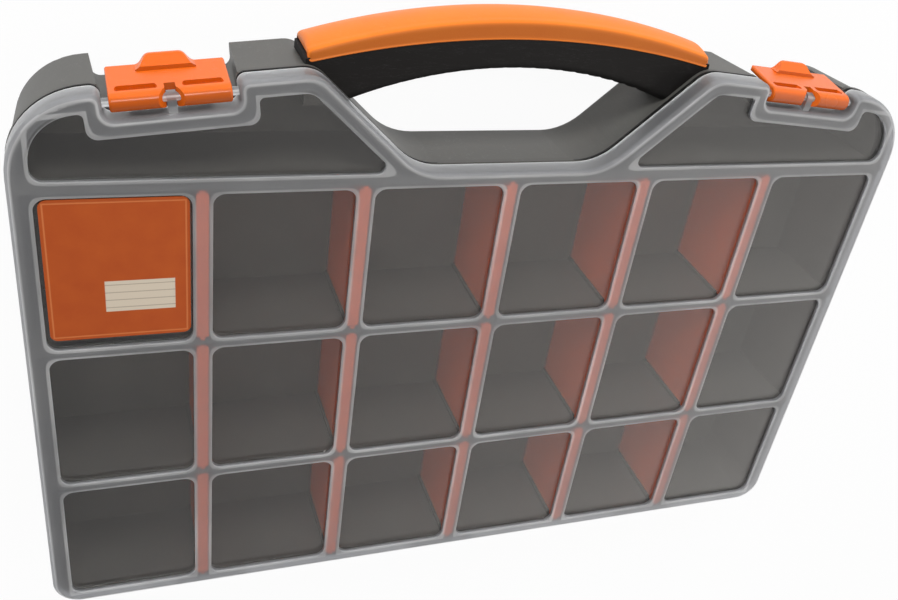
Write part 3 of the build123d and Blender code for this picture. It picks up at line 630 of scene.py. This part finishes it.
def make_pane_group():
    """Group that gives the distance from a place on the lid to the edge of the nearest pane.

    A rectangle's distance is the larger of its distances across and along, and taking the two
    together softly rounds its corner. Wrapping the place by the pitch repeats one pane over the
    whole grid. A pane over a corner pocket is the space under four slanted lines, less a notch."""
    group = bpy.data.node_groups.new("pane_distance", "ShaderNodeTree")
    group.interface.new_socket("Place", in_out="INPUT", socket_type="NodeSocketVector")
    group.interface.new_socket("Distance", in_out="OUTPUT", socket_type="NodeSocketFloat")
    start = group.nodes.new("NodeGroupInput").outputs
    end = group.nodes.new("NodeGroupOutput").inputs
    xyz = add(group, "SeparateXYZ", {0: start["Place"]}).outputs
    x = math_node(group, "ABSOLUTE", xyz["X"])
    y = math_node(group, "SUBTRACT", xyz["Y"], ROW_TOP)

    def line(across, up, reach):
        """Distance beyond a straight line, from its unit direction and its distance from zero."""
        share = math_node(group, "ADD", math_node(group, "MULTIPLY", x, across),
                          math_node(group, "MULTIPLY", y, up))
        return math_node(group, "SUBTRACT", share, reach)

    def in_cell(value, pitch, half):
        """Distance beyond one pane's half width, in a cell that repeats with the pitch."""
        cell = math_node(group, "WRAP", value, pitch, 0.0)
        middle = math_node(group, "ABSOLUTE", math_node(group, "SUBTRACT", cell, pitch / 2))
        return math_node(group, "SUBTRACT", middle, half)

    grid = math_node(group, "SMOOTH_MAX", in_cell(xyz["X"], COLUMN_PITCH, PANE_HALF[0]),
                     in_cell(y, ROW_PITCH, PANE_HALF[1]), CORNER_BLEND)
    ends = math_node(group, "MAXIMUM", line(0, 1, GRID_TOP), line(0, -1, -GRID_BOTTOM))
    ends = math_node(group, "MAXIMUM", ends, line(1, 0, GRID_SIDE))
    grid = math_node(group, "MAXIMUM", grid, ends)

    rise = POCKET_FOOT[1] * math.cos(SLOPE) - POCKET_FOOT[0] * math.sin(SLOPE)
    pocket = math_node(group, "SMOOTH_MAX", line(0, -1, -POCKET_BOTTOM), line(1, 0, GRID_SIDE),
                       CORNER_BLEND)
    pocket = math_node(group, "SMOOTH_MAX", pocket,
                       line(-math.sin(SLOPE), math.cos(SLOPE), rise), CORNER_BLEND)
    pocket = math_node(group, "SMOOTH_MAX", pocket,
                       line(math.sin(TILT), math.cos(TILT), POCKET_TOP), CORNER_BLEND)
    along = math_node(group, "ABSOLUTE", line(math.cos(TILT), -math.sin(TILT), NOTCH_MIDDLE))
    notch = math_node(group, "SMOOTH_MIN", math_node(group, "SUBTRACT", NOTCH_HALF, along),
                      line(math.sin(TILT), math.cos(TILT), NOTCH_FLOOR), CORNER_BLEND)
    pocket = math_node(group, "MAXIMUM", pocket, notch)
    group.links.new(math_node(group, "MINIMUM", grid, pocket), end["Distance"])
    return group


pane_group = make_pane_group()
print("pane group nodes:", len(pane_group.nodes))

# %% Frosted rim and ribs
EDGE_LINE = (-0.3 * MM, 1.1 * MM)       # reach of the light line round each pane
EDGE_SOFT = 0.35 * MM
# colour of the painted light on the edge lines, the crest and the skirt's foot
EDGE_PAINTED_LIGHT = (0.185, 0.183, 0.18, 1)
CREST_LEVELS = (0.84, 0.955)            # upward parts of a normal on the rim's crest
SKIRT_FOOT = 41.3 * MM
RIB_FACE = 49.3 * MM


def let_lamps_through(tree, shader, output, share):
    """Shadow rays pass a clear wall, so that lamps light what lies behind it."""
    through = add(tree, "BsdfTransparent", {"Color": (share, share, share, 1)})
    path = add(tree, "LightPath")
    mix = add(tree, "MixShader", {0: path.outputs["Is Shadow Ray"], 1: shader.outputs["BSDF"],
                                  2: through.outputs["BSDF"]})
    tree.links.new(mix.outputs["Shader"], output.inputs["Surface"])


def band(tree, value, low, high, soft):
    """1 between two values and 0 outside, with soft ends."""
    rise = add(tree, "MapRange", {"Value": value, "From Min": low - soft, "From Max": low})
    fall = add(tree, "MapRange", {"Value": value, "From Min": high, "From Max": high + soft,
                                  "To Min": 1.0, "To Max": 0.0})
    return math_node(tree, "MULTIPLY", rise.outputs["Result"], fall.outputs["Result"])


def make_lid_frost():
    """Etched clear plastic: milky on the level, painted darker on the walls, with painted light
    edge lines.

    A line round each pane, the rim's crest and the skirt's foot are given a little painted light
    of their own, an emission that stands in for highlights."""
    material, tree, shader, output = new_material("lid_frost")
    surface = add_surface(tree, 2400.0, 30.0)
    place = add(tree, "TexCoord").outputs
    level = add(tree, "SeparateXYZ", {0: place["Normal"]}).outputs["Z"]
    height = add(tree, "SeparateXYZ", {0: place["Object"]}).outputs["Z"]
    panes = add(tree, "Group", node_tree=pane_group)
    tree.links.new(place["Object"], panes.inputs["Place"])
    upper = math_node(tree, "MULTIPLY", math_node(tree, "GREATER_THAN", height, RIB_FACE),
                      math_node(tree, "GREATER_THAN", level, 0.2))
    lines = band(tree, panes.outputs["Distance"], *EDGE_LINE, EDGE_SOFT)
    lines = math_node(tree, "MULTIPLY", lines, upper)
    crest = band(tree, level, *CREST_LEVELS, 0.04)
    foot = math_node(tree, "LESS_THAN", height, SKIRT_FOOT)
    uneven = add(tree, "MapRange", {"Value": surface.outputs["Drift"], "From Min": 0.35,
                                    "From Max": 0.65, "To Min": 0.55, "To Max": 1.0})
    # painted light: edge lines, crest and skirt foot glow by emission
    painted_light = math_node(tree, "MAXIMUM", lines, math_node(tree, "MAXIMUM", crest, foot))
    painted_light = math_node(tree, "MULTIPLY", painted_light, uneven.outputs["Result"])
    # painted shade: the walls take a darker tint than the level faces
    wall_shade = add(tree, "MapRange", {"Value": math_node(tree, "ABSOLUTE", level), "From Min": 0.8,
                                  "From Max": 0.5})
    milk = blend_colours(tree, surface.outputs["Drift"], srgb(195, 196, 199), srgb(211, 211, 212))
    tint = blend_colours(tree, wall_shade.outputs["Result"], milk, srgb(191, 192, 195))
    rough = add(tree, "MapRange", {"Value": surface.outputs["Drift"], "To Min": 0.26,
                                   "To Max": 0.36})
    dents = add(tree, "Bump", {"Height": surface.outputs["Height"], "Strength": 0.3,
                               "Distance": 0.04 * MM})
    tree.links.new(tint, shader.inputs["Base Color"])
    tree.links.new(blend_colours(tree, painted_light, (0, 0, 0, 1), EDGE_PAINTED_LIGHT),
                   shader.inputs["Emission Color"])
    tree.links.new(rough.outputs["Result"], shader.inputs["Roughness"])
    tree.links.new(dents.outputs["Normal"], shader.inputs["Normal"])
    shader.inputs["Emission Strength"].default_value = 1.0
    shader.inputs["IOR"].default_value = 1.52
    shader.inputs["Transmission Weight"].default_value = 0.88
    let_lamps_through(tree, shader, output, 0.9)
    return material


lid_frost = make_lid_frost()
print("frosted finish:", lid_frost.name)

# %% [markdown]
# ## The clear panes
# The panes come off a polished part of the mould and stay glass clear, but no moulding is quite
# flat, and a lid is wiped and handled. A perfect glass would look like an empty hole, so slow
# waves bend what is seen through it a little, and faint smears and scratches blur its gloss.

# %% Clear panes
def make_lid_clear():
    """Polished clear plastic, a little wavy, with faint smears that blur its gloss."""
    material, tree, shader, output = new_material("lid_clear")
    surface = add_surface(tree, 160.0, 35.0, 60.0)
    tint = blend_colours(tree, surface.outputs["Drift"], (0.83, 0.81, 0.79, 1),
                         (0.89, 0.87, 0.85, 1))
    smear = math_node(tree, "MAXIMUM", surface.outputs["Scratches"], surface.outputs["Drift"])
    rough = add(tree, "MapRange", {"Value": smear, "To Min": 0.02, "To Max": 0.09})
    waves = add(tree, "Bump", {"Height": surface.outputs["Drift"], "Strength": 0.05,
                               "Distance": 1.0 * MM})
    tree.links.new(tint, shader.inputs["Base Color"])
    tree.links.new(rough.outputs["Result"], shader.inputs["Roughness"])
    tree.links.new(waves.outputs["Normal"], shader.inputs["Normal"])
    shader.inputs["IOR"].default_value = 1.49
    shader.inputs["Transmission Weight"].default_value = 1.0
    let_lamps_through(tree, shader, output, 0.7)
    return material


lid_clear = make_lid_clear()
print("clear finish:", lid_clear.name)

# %% The lid's two finishes on one mesh
PANE_HEIGHTS = (46.4 * MM, 48.0 * MM)

finish = np.zeros(len(lid_corners), dtype=np.int32)
for height in PANE_HEIGHTS:
    finish[np.all(np.abs(lid_corners[:, :, 2] - height) < HEIGHT_SLACK, axis=1)] = 1
lid.data.materials.append(lid_frost)
lid.data.materials.append(lid_clear)
lid.data.polygons.foreach_set("material_index", finish)
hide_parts("lid")
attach(lid, "lid")
print("triangles on panes:", int(finish.sum()), "of", len(finish))

# %% [markdown]
# ## The floor
# The case lies on a plain pale floor. A product photograph on white could be made by pouring
# light on the floor, but that would wash out the case too. Here the floor's own colour is pale,
# and what the camera and the gloss see of it is mixed most of the way to white, with just
# enough left of the lit surface to keep the shadow.

# %% Floor
FLOOR_HALF = 3.0
FLOOR_DROP = 0.2 * MM
WHITE_SHARE = 0.95              # the rest keeps the shadow


def grid_mesh(name, points):
    """Mesh of a grid of points, shape (rows, columns, 3), with a quad between each four."""
    rows, columns = points.shape[:2]
    index = np.arange(rows * columns).reshape(rows, columns)
    quads = np.stack([index[:-1, :-1], index[1:, :-1], index[1:, 1:], index[:-1, 1:]], axis=-1)
    mesh = bpy.data.meshes.new(name)
    mesh.from_pydata(points.reshape(-1, 3).tolist(), [], quads.reshape(-1, 4).tolist())
    piece = bpy.data.objects.new(name, mesh)
    bpy.context.scene.collection.objects.link(piece)
    return piece


side = np.linspace(-FLOOR_HALF, FLOOR_HALF, 5)
floor_y, floor_x = np.meshgrid(side, side)
floor_z = np.full_like(floor_x, -FLOOR_DROP)
floor = grid_mesh("floor", np.stack([floor_x, floor_y, floor_z], axis=-1))


def not_lighting(tree):
    """1 until a ray has met a matt surface, 0 once it is only looking for light."""
    return math_node(tree, "LESS_THAN", add(tree, "LightPath").outputs["Diffuse Depth"], 0.5)


def seen_directly(tree):
    """1 for rays from the camera, off gloss or through glass, 0 for the rays that light things."""
    path = add(tree, "LightPath")
    seen = math_node(tree, "MAXIMUM", path.outputs["Is Camera Ray"], path.outputs["Is Glossy Ray"])
    seen = math_node(tree, "MAXIMUM", seen, path.outputs["Is Transmission Ray"])
    return math_node(tree, "MULTIPLY", seen, not_lighting(tree))


def make_floor_white():
    """Pale floor that the camera, gloss and glass see as white, with a soft shadow left in it.

    From below it lets everything through, so that the case's underside can be looked at."""
    material, tree, shader, output = new_material("floor_white")
    shader.inputs["Base Color"].default_value = (0.95, 0.95, 0.95, 1)
    shader.inputs["Roughness"].default_value = 0.9
    white = add(tree, "Emission", {"Color": (1, 1, 1, 1), "Strength": 1.0})
    share = math_node(tree, "MULTIPLY", seen_directly(tree), WHITE_SHARE)
    mix = add(tree, "MixShader", {0: share, 1: shader.outputs["BSDF"],
                                  2: white.outputs["Emission"]})
    behind = add(tree, "NewGeometry").outputs["Backfacing"]
    clear = add(tree, "BsdfTransparent")
    whole = add(tree, "MixShader", {0: behind, 1: mix.outputs["Shader"],
                                    2: clear.outputs["BSDF"]})
    tree.links.new(whole.outputs["Shader"], output.inputs["Surface"])
    return material


floor.data.materials.append(make_floor_white())
print("floor", 2 * FLOOR_HALF, "m wide")

# %% [markdown]
# ## The world
# Even light from everywhere shows colours as they are, but flat panes would then mirror plain
# white and look like milk glass. A photographer puts a darker card where the panes look. Here
# the world does that: diffuse light is even, and what gloss sees is white at the horizon and
# changes higher up into a dim sky on the left and a bright one on the right.

# %% World
AMBIENT = 0.34
HORIZON = (0.90, 0.95, 1.05, 1)
SKY_LEFT = (0.14, 0.14, 0.15, 1)
SKY_RIGHT = (1.42, 1.38, 1.33, 1)
SKY_ACROSS = (-0.1, 0.65)       # directions between which the left turns into the right
SKY_RISE = (0.12, 0.5)          # directions between which the horizon turns into the sky


def make_world():
    """White for the camera and glass, even grey for lighting, a soft gradient for gloss."""
    world = bpy.data.worlds.new("studio")
    bpy.context.scene.world = world
    world.use_nodes = True
    tree = world.node_tree
    tree.nodes.clear()
    way = add(tree, "SeparateXYZ", {0: add(tree, "TexCoord").outputs["Generated"]})
    across = add(tree, "MapRange", {"Value": way.outputs["X"], "From Min": SKY_ACROSS[0],
                                    "From Max": SKY_ACROSS[1]}, interpolation_type="SMOOTHSTEP")
    sky = blend_colours(tree, across.outputs["Result"], SKY_LEFT, SKY_RIGHT)
    rise = add(tree, "MapRange", {"Value": way.outputs["Z"], "From Min": SKY_RISE[0],
                                  "From Max": SKY_RISE[1]}, interpolation_type="SMOOTHSTEP")
    seen = blend_colours(tree, rise.outputs["Result"], HORIZON, sky)
    path = add(tree, "LightPath")
    plain = math_node(tree, "MAXIMUM", path.outputs["Is Camera Ray"],
                      path.outputs["Is Transmission Ray"])
    plain = math_node(tree, "MULTIPLY", plain, not_lighting(tree))
    shine = math_node(tree, "MULTIPLY", path.outputs["Is Glossy Ray"], not_lighting(tree))
    lit = blend_colours(tree, shine, (AMBIENT,) * 3 + (1,), seen)
    colour = blend_colours(tree, plain, lit, (1, 1, 1, 1))
    light = add(tree, "Background", {"Color": colour, "Strength": 1.0})
    add(tree, "OutputWorld", {"Surface": light.outputs["Background"]})


make_world()
print("ambient light level", AMBIENT)

# %% [markdown]
# ## The lamps
# One large lamp stands beyond the handle and a little to the left, and lights the shoulders, the
# grip's top and the latches' plates. A weaker one on the right lifts that side of the ribs. A sun
# would be simpler, but its shadows are hard, so these are flat lamps, whose shadows are soft.
# Mirrored in the level panes, they would hide the compartments, so they are kept out of gloss and
# clear plastic. A small third one is mirrored, and puts the glints on the latches and the rim.

# %% Lamps
def make_lamp(name, place, aim, width, height, power, mirrored):
    """Flat lamp at a place, turned to face a point, its width level with the floor.

    One that isn't mirrored is kept out of gloss and clear plastic, as a filter would keep it."""
    data = bpy.data.lights.new(name, "AREA")
    data.shape = "RECTANGLE"
    data.size = width
    data.size_y = height
    data.energy = power
    lamp = bpy.data.objects.new(name, data)
    lamp.location = place
    lamp.visible_glossy = mirrored
    lamp.visible_transmission = mirrored
    back = np.array(place) - np.array(aim)
    lamp.rotation_euler = (math.acos(back[2] / np.linalg.norm(back)), 0,
                           math.atan2(back[1], back[0]) + math.pi / 2)
    bpy.context.scene.collection.objects.link(lamp)
    return lamp


lamps = [
    make_lamp("key", (-0.2, 1.2, 0.66), (0, 0, 0.02), 0.8, 0.4, 11.0, False),
    make_lamp("fill", (0.8, 0.15, 0.6), (0.05, 0, 0), 0.5, 0.4, 2.0, False),
    make_lamp("sparkle", (-0.15, 0.62, 1.0), (0, 0, 0.02), 0.24, 0.12, 2.2, True),
]
bpy.context.scene.view_settings.view_transform = "Standard"
print("lamps:", [lamp.name for lamp in lamps])

# %% [markdown]
# ## Finish
# Dressing a frame must not change its size.

# %% Finish
print("scene dressed")
